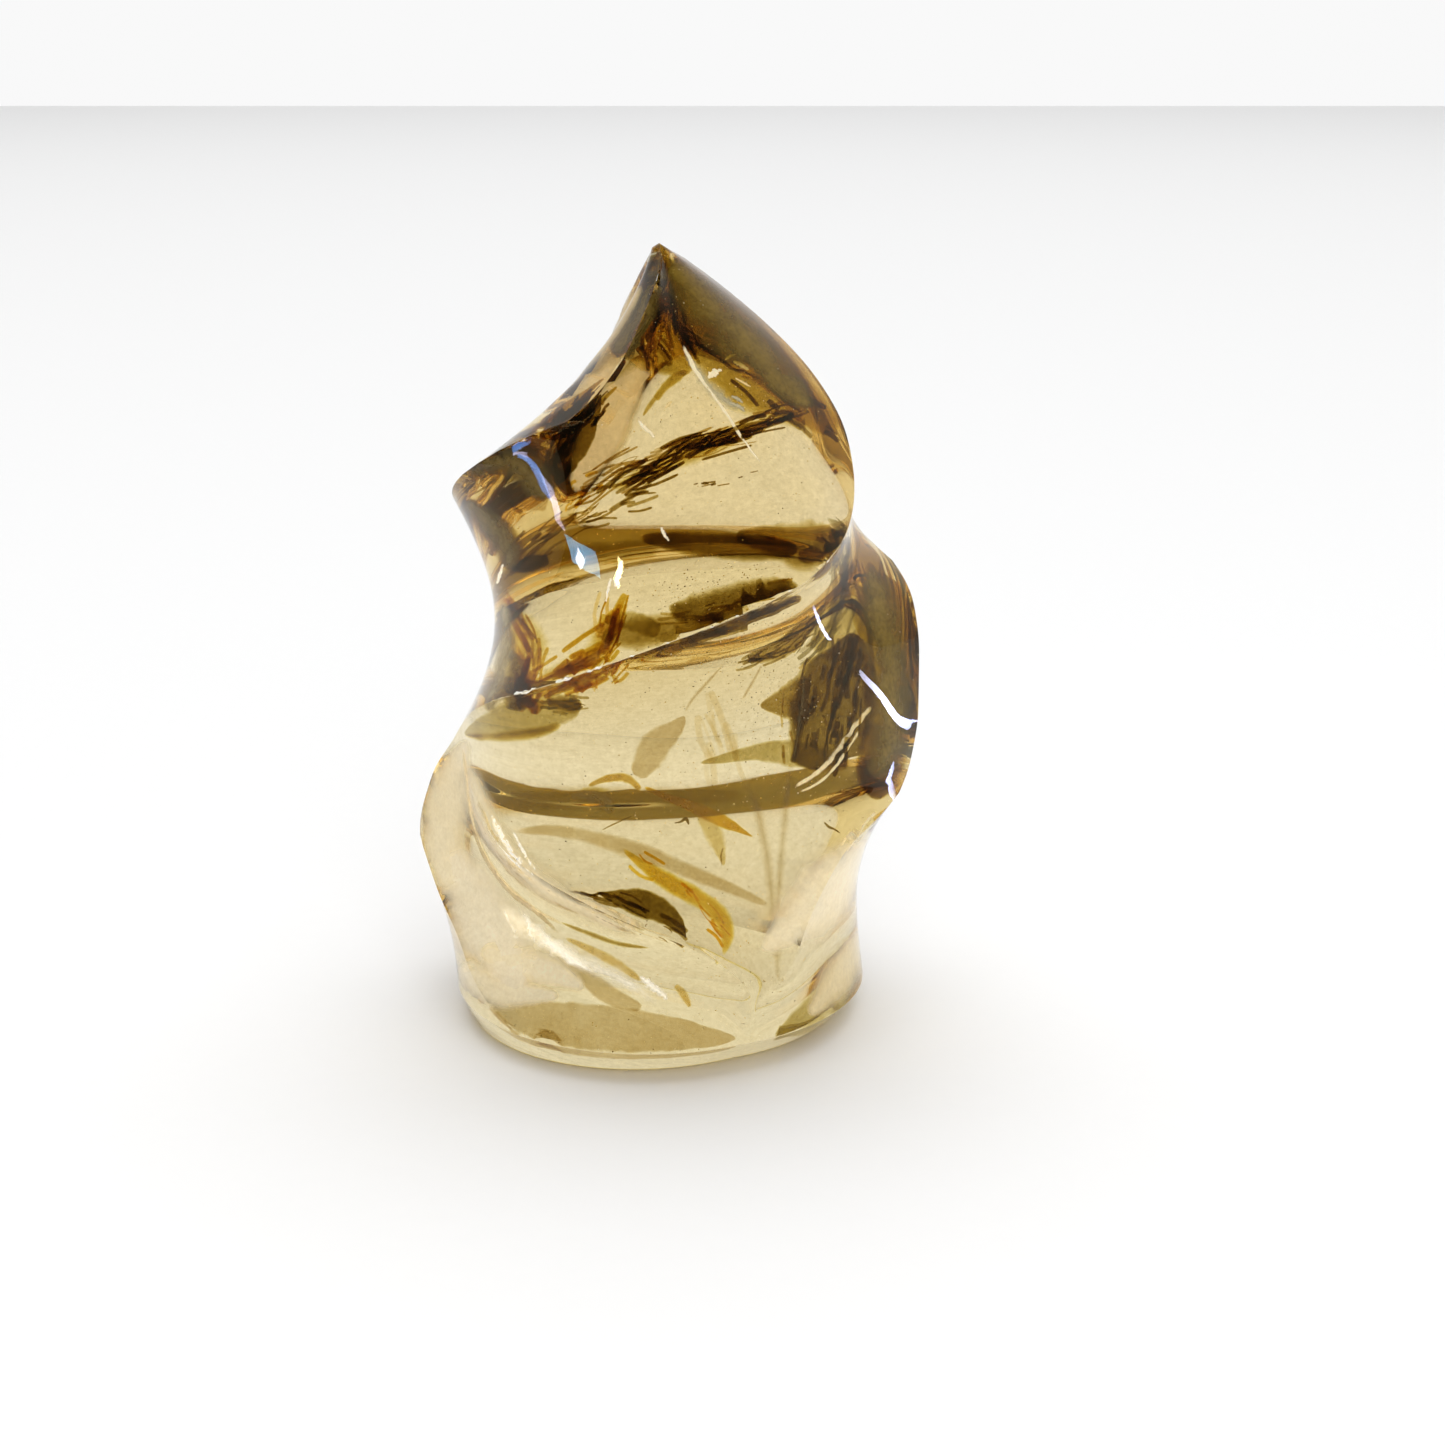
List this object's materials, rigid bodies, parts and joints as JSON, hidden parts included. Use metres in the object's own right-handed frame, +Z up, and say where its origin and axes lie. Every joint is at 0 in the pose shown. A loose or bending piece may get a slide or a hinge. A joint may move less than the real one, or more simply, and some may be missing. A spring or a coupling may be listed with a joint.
{
  "type": "quartz flame carving",
  "caption": "Free-standing twisted flame of clear smoky quartz with sharp winding ridges, hollow polished flutes, a pointed tip and a flat foot.",
  "frame": {"origin": "centre of the bounding box on the plane it stands on, under the tip within a few millimetres", "axes": "+Z up from the foot to the tip, -Y towards the front with the slanting leading ridge, +X to the right seen from the front"},
  "size_m": [0.0616, 0.0514, 0.095],
  "materials": {
    "smoky_quartz": "polished"
  },
  "bodies": {
    "root": {"flame": "smoky_quartz"}
  },
  "joints": []
}
